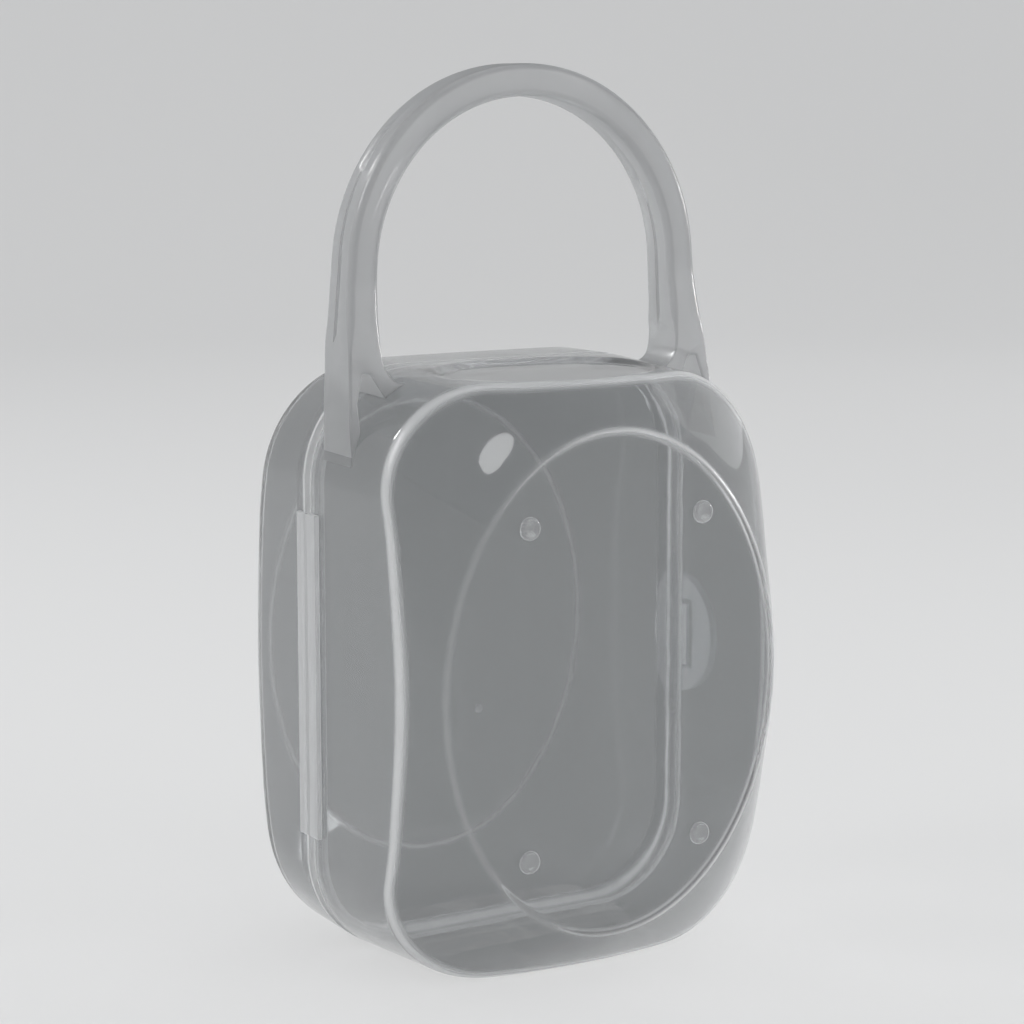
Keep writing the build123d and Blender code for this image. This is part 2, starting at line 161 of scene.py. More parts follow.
class StageSettings(bpy.types.PropertyGroup):
    """Floor, light and camera."""

    floor_colour: colour("Floor", "Pale studio floor and sweep", (0.76, 0.76, 0.76))
    lamp_power: FloatProperty(
        name="Lamp power", description="Each lamp takes its own share of it", default=4.5, min=0.0,
        unit="POWER",
    )
    air_colour: colour("Air", "Even light from all round", (0.62, 0.64, 0.66))
    air_strength: amount("Air strength", "Strength of the even light", 0.75, high=10.0)
    lens: FloatProperty(
        name="Lens", description="Focal length on a 36 mm sensor", default=95.73, min=1.0,
        subtype="DISTANCE_CAMERA",
    )
    azimuth: angle("Azimuth", "Camera direction round the case", -31.76)
    elevation: angle("Elevation", "Camera height above the horizon", 8.92)
    distance: FloatProperty(
        name="Distance", description="From the camera to its target", default=0.50054, unit="LENGTH"
    )
    target: FloatVectorProperty(
        name="Target", description="Point in the middle of the picture", subtype="TRANSLATION",
        default=(0.00269, 0.00583, 0.07791), unit="LENGTH",
    )


def sizes_mm(context):
    """The sizes as plain numbers: millimetres and radians, with the ones that follow from them."""
    group = context.scene.case_sizes
    s = SimpleNamespace()
    for name, prop in group.bl_rna.properties.items():
        if prop.type == "FLOAT":
            scale = 1 / MM if prop.unit == "LENGTH" else 1.0
            setattr(s, name, getattr(group, name) * scale)
    s.seam_y = front_edge + s.seam_gap
    s.front_depth = s.seam_y - front_face
    s.back_depth = back_face - s.seam_y
    s.middle = (s.case_height - s.base_flat) / 2
    s.latch_middle = s.case_height / 2 - s.latch_drop
    return s


# ---------------------------------------------------------------- surfaces to meshes


def grid_faces(rows, columns, wrap_rows=False, wrap_columns=False):
    """Corner numbers of the quads between neighbouring points of a rows by columns grid."""
    number = np.arange(rows * columns).reshape(rows, columns)
    if wrap_rows:
        number = np.vstack([number, number[:1]])
    if wrap_columns:
        number = np.hstack([number, number[:, :1]])
    corners = (number[:-1, :-1], number[1:, :-1], number[1:, 1:], number[:-1, 1:])
    return np.stack([c.ravel() for c in corners], 1)


def enclosed_volume(points, faces):
    """Six times the volume inside the faces: the sum of corner products over each face's fan."""
    total = 0.0
    for block in faces:
        p = points[np.asarray(block)]
        for k in range(1, p.shape[1] - 1):
            total += np.einsum("ij,ij->", p[:, 0], np.cross(p[:, k], p[:, k + 1]))
    return total


def make_piece(name, points, faces, body, slot, material, nodes=(), crease=35.0, blend=None, milk_and_highlight=None):
    """A closed mesh in millimetres becomes a piece that rides on a body and stands for CAD nodes.

    faces is a list of arrays, each of faces with as many corners as the array has columns. The last
    argument says for each point how milky the plastic looks there, from 0 to 1: partly real
    milkiness and partly painted highlight, bright lines along rims, edges and seams.
    """
    if enclosed_volume(points, faces) < 0:
        faces = [np.asarray(block)[:, ::-1] for block in faces]
    mesh = bpy.data.meshes.new(name)
    mesh.from_pydata(points * MM, [], [face for block in faces for face in np.asarray(block).tolist()])
    mesh.validate()
    mesh.shade_smooth()
    mesh.set_sharp_from_angle(angle=radians(crease))
    mesh.materials.append(material)
    if milk_and_highlight is not None:
        # the point attribute: milkiness and painted highlight lines
        mesh.attributes.new("milk_and_highlight", "FLOAT", "POINT").data.foreach_set("value", milk_and_highlight.astype(np.float32))
    piece = bpy.data.objects.new(name, mesh)
    bpy.context.scene.collection.objects.link(piece)
    if blend:
        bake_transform(piece)
    else:
        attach(piece, body)
    if nodes:
        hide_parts(*nodes)


def tube(rings):
    """Points and faces of closed rings, one row each, joined in order with a flat cap at each end."""
    count, around = rings.shape[:2]
    sides = grid_faces(count, around, wrap_columns=True)
    last = (count - 1) * around
    caps = np.array([np.arange(around), last + np.arange(around)[::-1]])
    return rings.reshape(-1, 3), [sides, caps]


def poled(rings):
    """Points and faces of closed rings whose first and last row shrink to a point each."""
    count, around = rings.shape[:2]
    first, last = rings[0].mean(0), rings[-1].mean(0)
    sides = grid_faces(count, around, wrap_columns=True)
    here = np.arange(around)
    after = np.roll(here, -1)
    last_row, pole = (count - 1) * around, np.full(around, count * around)
    fans = np.concatenate([
        np.stack([here, after, pole], 1), np.stack([last_row + after, last_row + here, pole + 1], 1),
    ])
    return np.vstack([rings.reshape(-1, 3), first, last]), [sides, fans]


def bezier(start, control, end, steps):
    """Points along the quadratic curve (1-t)^2 start + 2t(1-t) control + t^2 end, both ends too."""
    shares = np.linspace(0, 1, steps)
    return [(1 - t) ** 2 * start + 2 * t * (1 - t) * control + t ** 2 * end for t in shares]


def crowded(count):
    """Shares from 0 to 1 that crowd towards both ends: (1 - cos(pi u)) / 2."""
    return (1 - np.cos(np.linspace(0, pi, count))) / 2


def smooth(x):
    """0 below 0, 1 above 1 and 3x^2 - 2x^3 between."""
    x = np.clip(x, 0, 1)
    return x * x * (3 - 2 * x)


def near_line(rows, line, width, power):
    """A bell curve exp(-(d / width)^power) of each row's distance to a line given point by point."""
    return np.exp(-((np.linalg.norm(rows - line, axis=2) / width) ** power))


def radians_of(*degrees):
    """Several angles in radians."""
    return [radians(d) for d in degrees]


def unit_outline(t):
    """A rounded rectangle at t from 0 to 8: flanks on even stretches, corners on odd ones.

    Gives the corner centre's sign along X and Z, and the outward direction; a point is
    sign * (half size - corner) + corner * direction.
    """
    half, part = np.divmod(t, 2)
    along = half + np.minimum(part, 1)
    turn = (half + np.maximum(part - 1, 0)) * pi / 2
    stops = np.arange(5)
    return (
        np.interp(along, stops, (1, 1, -1, -1, 1)), np.interp(along, stops, (-1, 1, 1, -1, -1)),
        np.cos(turn), np.sin(turn),
    )


def stretches(flank, end, corner):
    """Places from 0 to 8 round a rounded rectangle, as many on each kind of stretch as asked."""
    counts = (flank, corner, end, corner) * 2
    return np.concatenate([np.linspace(k, k + 1, n, endpoint=False) for k, n in enumerate(counts)])


def round_block(low, high, radius, steps=4):
    """A block with rounded edges: a rounded rectangle in X and Y carried up Z.

    Near both ends the outline shrinks by r (1 - sin a), a little less than r at most so that the
    corners' points stay apart, while Z advances by r (1 - cos a).
    """
    short = 0.999
    low, high = np.array(low, float), np.array(high, float)
    centre, half = (low + high) / 2, (high - low) / 2
    sign_x, sign_y, c, d = unit_outline(stretches(1, 1, steps))
    a = np.linspace(0, pi / 2, steps + 1)
    shrink = radius * (1 - np.sin(a)) * short
    rise = radius * (1 - np.cos(a))
    inset = np.concatenate([shrink, shrink[::-1]])[:, None]
    z = np.concatenate([low[2] + rise, high[2] - rise[::-1]])[:, None]
    x = centre[0] + sign_x * (half[0] - radius) + (radius - inset) * c
    y = centre[1] + sign_y * (half[1] - radius) + (radius - inset) * d
    return tube(np.stack([x, y, np.broadcast_to(z, x.shape)], -1))


def lathe(profile, centre, side, around=48):
    """A profile of (radius, height) turned about the depth axis, height counted outwards."""
    turn = np.linspace(0, 2 * pi, around, endpoint=False)
    radius, height = np.array(profile).T[..., None]
    x = centre[0] + radius * np.cos(turn)
    z = centre[2] + radius * np.sin(turn)
    y = np.broadcast_to(centre[1] + side * height, x.shape)
    return poled(np.stack([x, y, z], -1))


# ---------------------------------------------------------------- shells


def shell_figures(s, side):
    """Figures of a half shell, with depths counted outwards from the seam.

    The crown's rulings run from the oval to a foot outline outside the walls, whose depth is base.
    The angles are half the turns of the oval that meet the flanks and the ends. Each millimetre off
    the seam, the walls' halves lose loss and their corner radius gains growth.
    """
    f = SimpleNamespace(side=side)
    if side == FRONT:
        f.depth, f.near = s.front_depth, s.seam_gap
        f.oval = (34.1, 44.5)
        f.base, f.foot, f.foot_corner = 20.0, (45.0, 61.9), 28.6
        f.angles = (23.4, 15.0)
        f.loss = (tan(s.front_draft), tan(s.front_draft))
        f.growth = 0.0
    else:
        f.depth, f.near = s.back_depth, 0.0
        f.oval = (34.15, 44.85)
        f.base, f.foot, f.foot_corner = 10.0, (49.0, 55.9), 19.85
        f.angles = (21.8, 28.4)
        f.loss = (tan(s.back_draft), 0.0)
        f.growth = 0.05
    f.half = (s.case_width / 2, (s.case_height + s.base_flat) / 2)
    f.corner = s.seam_corner
    return f


def wall_half(f, d, inset):
    """Half width, half height and corner radius of the side walls at a distance off the seam."""
    return (
        f.half[0] - d * f.loss[0] - inset, f.half[1] - d * f.loss[1] - inset,
        f.corner + d * f.growth - inset,
    )


def off_wall(f, p, inset):
    """Distance of points to the walls' rounded rectangle at their depth, negative inside."""
    half_x, half_z, corner = wall_half(f, p[:, 1], inset)
    qx = np.abs(p[:, 0]) - (half_x - corner)
    qz = np.abs(p[:, 2]) - (half_z - corner)
    return np.hypot(np.maximum(qx, 0), np.maximum(qz, 0)) + np.minimum(np.maximum(qx, qz), 0) - corner


def crown_rulings(f, t, inset):
    """Both ends of the crown's rulings: on the oval's edge, and where they cross the drafted walls.

    The oval's point E(t) and the foot outline's point W(t) span a ruling, and the share of it that
    lies inside the walls is found by halving.
    """
    turn = np.interp(t, np.arange(9), radians_of(
        -f.angles[0], f.angles[0], 90 - f.angles[1], 90 + f.angles[1], 180 - f.angles[0],
        180 + f.angles[0], 270 - f.angles[1], 270 + f.angles[1], 360 - f.angles[0],
    ))
    lean = inset / 2
    oval_x, oval_z = (f.oval[0] - lean) * np.cos(turn), (f.oval[1] - lean) * np.sin(turn)
    edge = np.stack([oval_x, np.full_like(t, f.depth - inset), oval_z], 1)
    sign_x, sign_z, c, d = unit_outline(t)
    corner = f.foot_corner - lean
    foot = np.stack([
        (f.foot[0] - lean - corner) * sign_x + corner * c, np.full_like(t, f.base - inset),
        (f.foot[1] - lean - corner) * sign_z + corner * d,
    ], 1)
    low, high = np.zeros_like(t), np.ones_like(t)
    for _ in range(40):
        share = (low + high) / 2
        beyond = off_wall(f, edge + share[:, None] * (foot - edge), inset) > 0
        low, high = np.where(beyond, low, share), np.where(beyond, share, high)
    return edge, edge + low[:, None] * (foot - edge)


def shell_skin(s, f, t, inset, crease, rim, walls, near):
    """One skin of a shell as rows of points (X, distance off the seam, height off the middle).

    Rows run from the oval's middle to its edge, down the rulings, which swell by 0.08 L k (1 - k) at
    a share k of their length L, round the rim by a quadratic curve and along the wall to the mouth.
    """
    edge, crossing = crown_rulings(f, t, inset)
    half_x, half_z, corner = wall_half(f, crossing[:, 1], inset)
    place_x = np.clip(crossing[:, 0] / (half_x - corner), -1, 1)
    place_z = np.clip(crossing[:, 2] / (half_z - corner), -1, 1)
    facing = np.arctan2(
        crossing[:, 2] - place_z * (half_z - corner), crossing[:, 0] - place_x * (half_x - corner)
    )

    def wall_row(distance, extra=0.0):
        half_x, half_z, corner = wall_half(f, distance, inset + extra)
        height = (half_z - corner) * place_z + corner * np.sin(facing)
        height = np.maximum(height, inset + extra - s.middle)
        return np.stack([
            (half_x - corner) * place_x + corner * np.cos(facing),
            distance + np.zeros_like(t), height,
        ], 1)

    ruling = crossing - edge
    run = np.linalg.norm(ruling, axis=1, keepdims=True)
    ruling = ruling / run
    flat = edge * (1, 0, 1)
    inwards = -flat / np.linalg.norm(flat, axis=1, keepdims=True)
    centre = np.array([0, f.depth - inset, 0])
    rows = [centre + flat * k for k in (0.02, 0.25, 0.5, 0.75)]
    rows += [edge + inwards * (crease + d) for d in (4.0, 2.0, 1.2, 0.7, 0.35)]
    rows += bezier(edge + inwards * crease, edge, edge + ruling * crease, 6)
    start, end = edge + ruling * crease, crossing - ruling * rim
    outward = (0, 1, 0) - ruling * ruling[:, 1:2]
    swell = 0.08 * run * outward / np.linalg.norm(outward, axis=1, keepdims=True)
    rows += [start + (end - start) * k + swell * k * (1 - k) for k in crowded(22)[1:-1]]
    rows += bezier(end, crossing, wall_row(crossing[:, 1] - rim), 9)
    far = crossing[:, 1] - rim
    rows += [wall_row(far + (near - far) * k) for k in crowded(walls)[1:]]
    rows = np.array(rows)
    rows[..., 2] = np.maximum(rows[..., 2], inset - s.middle)
    return rows, wall_row, skin_milk_and_highlight(f, rows, edge, crossing, near, inset)


def skin_milk_and_highlight(f, rows, edge, crossing, near, inset):
    """How milky a skin looks at each point, partly real milkiness and partly painted highlight: bright
    lines along the oval's edge, along the rim and at the mouth.
    """
    rim_width, oval_width, mouth_width = 1.2, 0.55, 0.5
    if f.side == FRONT:
        rim_share, mouth_share = 0.62, 0.4
        # painted highlight: the front oval's edge grows brighter towards its right side
        oval_share = 0.15 + 0.55 * smooth(rows[..., 0] / f.oval[0] + 0.6)
    else:
        rim_share, mouth_share, oval_share = 0.12, 0.9 if inset == 0 else 0.2, 0.7
    rim = rim_share * near_line(rows, crossing, rim_width, 4)
    oval = oval_share * near_line(rows, edge, oval_width, 2)
    mouth = mouth_share * np.exp(-(((rows[..., 1] - near) / mouth_width) ** 2))
    return np.maximum(np.maximum(rim, oval), mouth)


def press_dish(s, rows):
    """The finger dish: the top wall sinks by its depth inside an ellipse, over a short ramp."""
    reach_x, reach_y, centre_y, ramp = 22.0, 13.8, 15.8, 1.1
    ratio = np.hypot(rows[..., 0] / reach_x, (rows[..., 1] - centre_y) / reach_y)
    sunk = smooth((1 - ratio) * reach_y / ramp) * (rows[..., 2] > s.middle * 0.8)
    rows[..., 2] -= s.dish_depth * sunk
    return rows


def latch_land(s, rows):
    """How far the back shell's edge runs forward behind the latch, for each point of the edge."""
    half_land, ramp, reach = 16.25, 0.5, s.seam_gap - 0.3
    height = np.abs(rows[:, 2] + s.middle - s.latch_middle)
    return reach * smooth((half_land - height) / ramp + 0.5) * (rows[:, 0] > 0)


def shell_surface(s, side):
    """A closed half shell: outer skin, rounded mouth and inner skin in one ring of rows."""
    f = shell_figures(s, side)
    outer_rows, inner_rows, lip_steps = 30, 20, 4
    # painted highlight, partly real milkiness: the mouths are milky so that the seam shows as bright lines
    lip_milk_and_highlight = 0.4 if side == FRONT else 0.6
    inner_rim = s.rim_round * 0.6
    t = stretches(72, 52, 44)
    m = s.mouth_round
    near = np.full_like(t, f.near)
    if side == BACK:
        wall_row = shell_skin(s, f, t, 0.0, s.oval_round, s.rim_round, 3, near)[1]
        near = near - latch_land(s, wall_row(near))
    outer, outer_row, milk_and_highlight_out = shell_skin(s, f, t, 0.0, s.oval_round, s.rim_round, outer_rows, near + m)
    inner, inner_row, milk_and_highlight_in = shell_skin(s, f, t, s.wall, s.oval_round, inner_rim, inner_rows, near + m)
    if side == FRONT:
        outer = press_dish(s, outer)
    lip_out = bezier(outer_row(near + m), outer_row(near), outer_row(near, m), lip_steps)[1:]
    lip_in = bezier(inner_row(near, -m), inner_row(near), inner_row(near + m), lip_steps)[:-1]
    rows = np.concatenate([outer, lip_out, lip_in, inner[::-1]])
    rows = rows * (1, side, 1) + (0, s.seam_y, s.middle)
    milk_and_highlight_lip = np.full((len(lip_out) + len(lip_in), len(t)), lip_milk_and_highlight)
    milk_and_highlight = np.concatenate([milk_and_highlight_out, milk_and_highlight_lip, milk_and_highlight_in[::-1]]).ravel()
    return *poled(rows), np.append(milk_and_highlight, (0, 0))


def band_surface(s):
    """The seal lip: a closed profile of (inset, distance off the seam) carried round the opening.

    Its inner face is milky along the step at the seam, partly real milkiness and partly a painted
    highlight line: exp(-((distance + 0.3) / width)^2), where the width grows from 0.62 at the sides
    to 2.3 on the floor. Its front end is milky too, partly painted highlight.
    """
    reach, thick, root, lead, clear = 3.8, 0.9, 4.0, 0.3, 0.3
    inset = s.wall + clear + reach * tan(s.front_draft)
    fused = s.wall + 0.02
    inner_face = [(inset + thick, y) for y in np.linspace(-reach + 0.15, root - 0.2, 25)]
    profile = np.array([
        (inset, -reach + lead), (inset + lead, -reach), (inset + thick - 0.15, -reach), *inner_face,
        (inset + thick - 0.2, root), (fused, root), (fused, root * 0.5), (fused, 0.06), (inset, 0.0),
        (inset, -reach / 2),
    ])
    sign_x, sign_z, c, d = unit_outline(stretches(12, 12, 24))
    n = profile[:, :1]
    top, bottom = s.case_height - inset, s.wall + clear
    half_z = (top - bottom) / 2 + inset - n
    corner = s.seam_corner - n
    x = (s.case_width / 2 - n - corner) * sign_x + corner * c
    z = (top + bottom) / 2 + (half_z - corner) * sign_z + corner * d
    z = np.maximum(z, fused)
    y = np.broadcast_to(s.seam_y + profile[:, 1:], x.shape)
    points = np.stack([x, y, z], -1)
    on_face = profile[:, :1] == inset + thick
    # painted highlight: the seam's bright line is widened along the floor
    width = 0.62 + 1.7 * np.maximum(-d, 0) ** 3
    step = on_face * np.exp(-(((profile[:, 1:] + 0.3) / width) ** 2))
    front_end = 0.55 * np.exp(-(((profile[:, 1:] + reach) / 0.35) ** 2))
    milk_and_highlight = np.maximum(step, front_end)
    return points.reshape(-1, 3), [grid_faces(*x.shape, wrap_rows=True, wrap_columns=True)], milk_and_highlight.ravel()


# ---------------------------------------------------------------- handle


def path_normals(path):
    """Outward direction at each point of a closed path in X and Z, lengthened at its corners."""
    ahead = np.roll(path, -1, 0) - path
    ahead = ahead / np.linalg.norm(ahead, axis=1, keepdims=True)
    behind = np.roll(ahead, 1, 0)
    right = np.stack([ahead[:, 1], -ahead[:, 0]], 1) + np.stack([behind[:, 1], -behind[:, 0]], 1)
    right = right / np.linalg.norm(right, axis=1, keepdims=True)
    bend = np.clip(np.einsum("ij,ij->i", right, np.stack([ahead[:, 1], -ahead[:, 0]], 1)), 0.6, 1)
    area = np.sum(path[:, 0] * np.roll(path[:, 1], -1) - np.roll(path[:, 0], -1) * path[:, 1])
    return right / bend[:, None] * np.sign(area)


def eased(corners, radius, steps=5):
    """A path through corner points whose inner corners are rounded by quadratic curves."""
    corners = np.array(corners, float)
    out = [corners[:1]]
    for before, here, after in zip(corners[:-2], corners[1:-1], corners[2:]):
        back, on = before - here, after - here
        cut = min(radius, 0.45 * np.linalg.norm(back), 0.45 * np.linalg.norm(on))
        start = here + back / np.linalg.norm(back) * cut
        end = here + on / np.linalg.norm(on) * cut
        out.append(np.array(bezier(start, here, end, steps)))
    return np.concatenate(out + [corners[-1:]])


def foot_outline(s, h):
    """Right foot in front view, from its outer top down the strut, round the window to its inner top.

    The stretches on the case follow the shell's corner, sunk by a little. The window stands between
    the strut and the flare, a quarter of an ellipse that runs up to the arch's inner line. Widths are
    counted inwards from the strut's outer line, and two rows of points stand halfway down it.
    """
    sunk = s.seam_corner - 0.45
    toe_in, toe_wide, knee_wide, top_wide = 0.25, 2.3, 1.55, 2.45
    knee_z, window_top = s.case_height - 5.0, s.case_height - 0.2
    window_wide, window_lean, flare_wide = 1.6, 2.55, 4.2
    strut_rows = (s.case_height + 2, h.toe + 5)
    centre = np.array(h.corner)

    def on_strut(z, inset=0.0):
        return np.array([h.outer(z) - inset, z])

    def on_case(x):
        return np.array([x, centre[1] + sqrt(max(sunk ** 2 - (x - centre[0]) ** 2, 0.0))])

    def case_run(x_from, x_to):
        angles = [np.arctan2(*(on_case(x) - centre)[::-1]) for x in (x_from, x_to)]
        sweep = np.linspace(*angles, 6)[:, None]
        return centre + sunk * np.hstack([np.cos(sweep), np.sin(sweep)])

    strut_end = on_case(h.outer(h.toe) - toe_in)
    strut_in = on_case(h.outer(h.toe) - toe_wide)
    window_out = on_strut(window_top, top_wide)
    window_in = window_out - (window_wide, 0)
    window_low = on_case(window_in[0] - window_lean)
    flare_end = on_case(h.inner(h.foot_top) - flare_wide)
    strut = eased([on_strut(h.foot_top), *map(on_strut, strut_rows), strut_end], 1.0)
    window = eased([strut_in, on_strut(knee_z, knee_wide), window_out, window_in, window_low], 0.45)
    turn = np.linspace(0, pi / 2, 14)[1:]
    span = np.array([h.inner(h.foot_top), h.foot_top]) - flare_end
    flare = flare_end + span * np.stack([np.sin(turn), 1 - np.cos(turn)], 1)
    return np.concatenate([
        strut, case_run(strut_end[0], strut_in[0])[1:-1], window,
        case_run(window_low[0], flare_end[0])[1:], flare,
    ])


def handle_lines(s):
    """The handle's lines: its two arcs in front view, the outline's corner on the case and its depths.

    Each leg is a tangent to its arc that leans out by its splay: at a height z its half width is
    r / cos(splay) + (centre - z) tan(splay). Depths are counted from the seam, negative to the front.
    """
    arch_inset, splay_out, splay_in = 4.0, radians(4.9), radians(2.9)
    foot_line, back = -10.0, -2.2
    to_corner = foot_line * tan(s.front_draft) - s.seam_corner
    h = SimpleNamespace(
        foot_top=s.case_height + s.foot_height, toe=s.case_height - s.toe_drop,
        foot_line=foot_line, front=back - s.handle_depth, back=back,
        corner=(
            s.case_width / 2 + to_corner, s.middle + (s.case_height + s.base_flat) / 2 + to_corner,
        ),
    )
    h.outer_r = s.case_width / 2 - arch_inset
    h.inner_r = h.outer_r - s.arch_thickness
    h.centre = arch_top - h.outer_r
    h.outer = lambda z: h.outer_r / cos(splay_out) + (h.centre - z) * tan(splay_out)
    h.inner = lambda z: h.inner_r / cos(splay_in) + (h.centre - z) * tan(splay_in)

    def arc(radius, half_width, splay):
        """Up the left leg, over the crown and down the right leg."""
        leg_z = np.linspace(h.foot_top, h.centre + radius * sin(splay), 12, endpoint=False)
        sweep = np.linspace(pi - splay, splay, 121)
        leg = np.stack([half_width(leg_z), leg_z], 1)
        crown = np.stack([radius * np.cos(sweep), h.centre + radius * np.sin(sweep)], 1)
        return np.concatenate([leg * (-1, 1), crown, leg[::-1]])

    h.outer_arc, h.inner_arc = arc(h.outer_r, h.outer, splay_out), arc(h.inner_r, h.inner, splay_in)
    return h


def handle_section(s, h, path):
    """How far the outline draws in and how deep it lies, column by column, at each of its points.

    Near both faces the outline draws in by r (1 - sin a) while the depth advances by r (1 - cos a),
    and a shallow groove runs round the middle of the leg's edges. Both faces lean forward on their
    way down to the toes.
    """
    front_lean, back_lean, groove_half = 4.2, 2.8, 0.62
    lift = path[:, 1] - h.foot_top
    off_case = np.hypot(np.abs(path[:, 0]) - h.corner[0], path[:, 1] - h.corner[1]) - s.seam_corner
    radius = s.foot_round + (s.handle_round - s.foot_round) * smooth(lift / 8.0 + 0.2)
    radius = radius * smooth((off_case + 0.1) / 2.0) + 0.01
    height = np.maximum(path[:, 1] - h.centre, 0)
    on_outer = np.abs(np.hypot(path[:, 0], height) - h.outer_r) < 0.5
    reach = np.where(on_outer, h.outer_r, h.inner_r)
    groove = s.groove_depth * np.clip(1 - 1.2 * height / reach, 0, 1) * smooth((lift - 1.0) / 2.0)

    def leaned(start, most):
        return most * np.clip((start - path[:, 1]) / (start - h.toe), 0, 1)

    front = h.front - leaned(h.centre - 2.0, front_lean)
    back = h.back - leaned(h.foot_top + 2.0, back_lean)
    a = np.linspace(0, pi / 2, 7)[:, None]
    draw_in, advance = radius * (1 - np.sin(a)), radius * (1 - np.cos(a))
    share = np.array([0, 1, 1, 1, 0])[:, None]
    offset = np.array([-groove_half, -0.38, 0.0, 0.38, groove_half])[:, None]
    seam = (h.front + h.back) / 2 + offset * np.ones_like(front)
    inset = np.concatenate([draw_in, groove * share, draw_in[::-1]])
    depth = np.concatenate([front + advance, seam, back - advance[::-1]])
    return inset.T, depth.T


def handle_surface(s):
    """The whole handle as one closed surface: its front outline carried through its depth.

    Rows follow the outline (outer arch, right foot, inner arch, left foot); columns run from the front
    face to the back face. Below the top wall the feet follow the front shell's draft. Each face is
    closed by a strip along the arch and a polygon over each foot.
    """
    h = handle_lines(s)
    foot = foot_outline(s, h)
    right, left = foot[1:-1], (foot * (-1, 1))[::-1][1:-1]
    path = np.concatenate([h.outer_arc, right, h.inner_arc[::-1], left])
    normals = path_normals(path)
    inset, depth = handle_section(s, h, path)
    x = path[:, :1] - normals[:, :1] * inset
    z = path[:, 1:] - normals[:, 1:] * inset
    on_case = smooth((s.case_height + 1.0 - path[:, 1:]) / 2.0)
    shift = (depth - h.foot_line) * tan(s.front_draft) * on_case
    points = np.stack([x + np.sign(path[:, :1]) * shift, s.seam_y + depth, z + shift], -1)

    rows, columns = x.shape
    arch, inner_start = len(h.outer_arc), len(h.outer_arc) + len(right)
    number = np.arange(rows * columns).reshape(rows, columns)
    outer = np.arange(arch)
    inner = inner_start + arch - 1 - outer
    strip = np.stack([outer[:-1], outer[1:], inner[1:], inner[:-1]], 1)
    right_loop = np.r_[arch - 1:inner_start + 1]
    left_loop = np.r_[inner_start + arch - 1:rows, 0]
    faces = [grid_faces(rows, columns, wrap_rows=True)]
    for column, flip in ((0, 1), (columns - 1, -1)):
        faces.append(number[strip, column][:, ::-flip])
        for loop in (right_loop, left_loop):
            faces.append(number[loop, column][None, ::-flip])
    return points.reshape(-1, 3), faces


# ---------------------------------------------------------------- hinge and latch


def tongue_surface(s):
    """The half-moon tongue: a ring of profiles round its window.

    Along a ray at angle a from the window's middle, the window ends where a rounded box does and the
    tongue where a disc and a straight edge do; each is the soft minimum (sum of r^-p)^(-1/p).
    """
    slot_front, slot_wide, slot_tall = -4.4, 3.9, 13.4
    centre_y, disc_y, straight_y = slot_front + slot_wide / 2, 1.0, 0.2
    plate, band, r = 1.2, 0.5, 0.3
    inner_x = s.case_width / 2 + s.latch_lift
    face_x, rim_x = inner_x + plate, inner_x + plate + band
    a = np.linspace(0, 2 * pi, 200, endpoint=False)
    c, d = np.cos(a), np.sin(a)

    def soft(p, *runs):
        return sum(run ** -p for run in runs) ** (-1.0 / p)

    def disc(radius):
        offset = centre_y - disc_y
        return -offset * c + np.sqrt(radius ** 2 - (offset * d) ** 2)

    straight = np.where(c > 0.02, (straight_y - centre_y) / np.maximum(c, 0.02), 1e3)
    window = soft(
        9, slot_wide / 2 / np.maximum(np.abs(c), 1e-3), slot_tall / 2 / np.maximum(np.abs(d), 1e-3)
    )
    edge = soft(18, disc(s.tongue_radius), straight)
    inner_edge = soft(18, disc(s.tongue_radius - s.rim_band), straight - 0.25)
    profile = [
        (window + r, inner_x), (window, inner_x + r), (window, face_x - r),
        (window + r * 0.3, face_x - r * 0.3), (window + r, face_x), (inner_edge - 0.3, face_x),
        (inner_edge - 0.05, face_x + 0.1),
    ]
    rise = np.clip((edge - inner_edge - 0.3) / 0.8, 0, 1)
    crown_x = face_x + (rim_x - face_x) * rise
    profile += [
        (inner_edge + 0.15 * rise, crown_x - 0.1 * rise), (inner_edge + 0.35 * rise, crown_x),
        (edge - 0.4, crown_x), (edge - 0.12, crown_x - 0.12), (edge, crown_x - 0.4),
        (edge, inner_x + r), (edge - r * 0.3, inner_x + r * 0.3), (edge - r, inner_x),
    ]
    middle_y = s.seam_y + centre_y
    rows = np.array([
        np.stack([x + np.zeros_like(a), middle_y + radius * c, s.latch_middle + radius * d], 1)
        for radius, x in profile
    ])
    return rows.reshape(-1, 3), [grid_faces(len(rows), len(a), wrap_rows=True, wrap_columns=True)]


def pad_surface(s):
    """The lens-shaped pad: upright sections whose back end follows an arc, thinned towards it."""
    radius, reach, split, flat = 17.8, 6.8, 1.0, 0.6
    sunk, thick, edge_thick = 0.02, 1.9, 0.7
    tall = sqrt(radius ** 2 - (radius - reach + split) ** 2) - 0.05
    z = tall * np.sin(np.linspace(-pi / 2, pi / 2, 72))
    arc = reach - radius + np.sqrt(radius ** 2 - z ** 2)
    side = s.case_width / 2
    low_x, top_x, end_x = side - sunk, side + thick, side + edge_thick
    loop = []
    for share, level in (
        (0, 0), (0, 0.5), (0, 0.9), (0.02, 0.98), (0.05, 1), (0.3, 1), (0.6, 1), (0.9, 1), (0.97, 0.95),
        (1, 0.7), (1, 0),
    ):
        y = split + (arc - split) * share
        slope = np.clip((y - split - flat) / (reach - split - flat), 0, 1)
        top = top_x + (end_x - top_x) * slope
        floor = low_x - y * tan(s.back_draft)
        x = floor + (top - floor) * level
        loop.append(np.stack([x, s.seam_y + y, s.latch_middle + z], 1))
    return tube(np.array(loop).transpose(1, 0, 2))


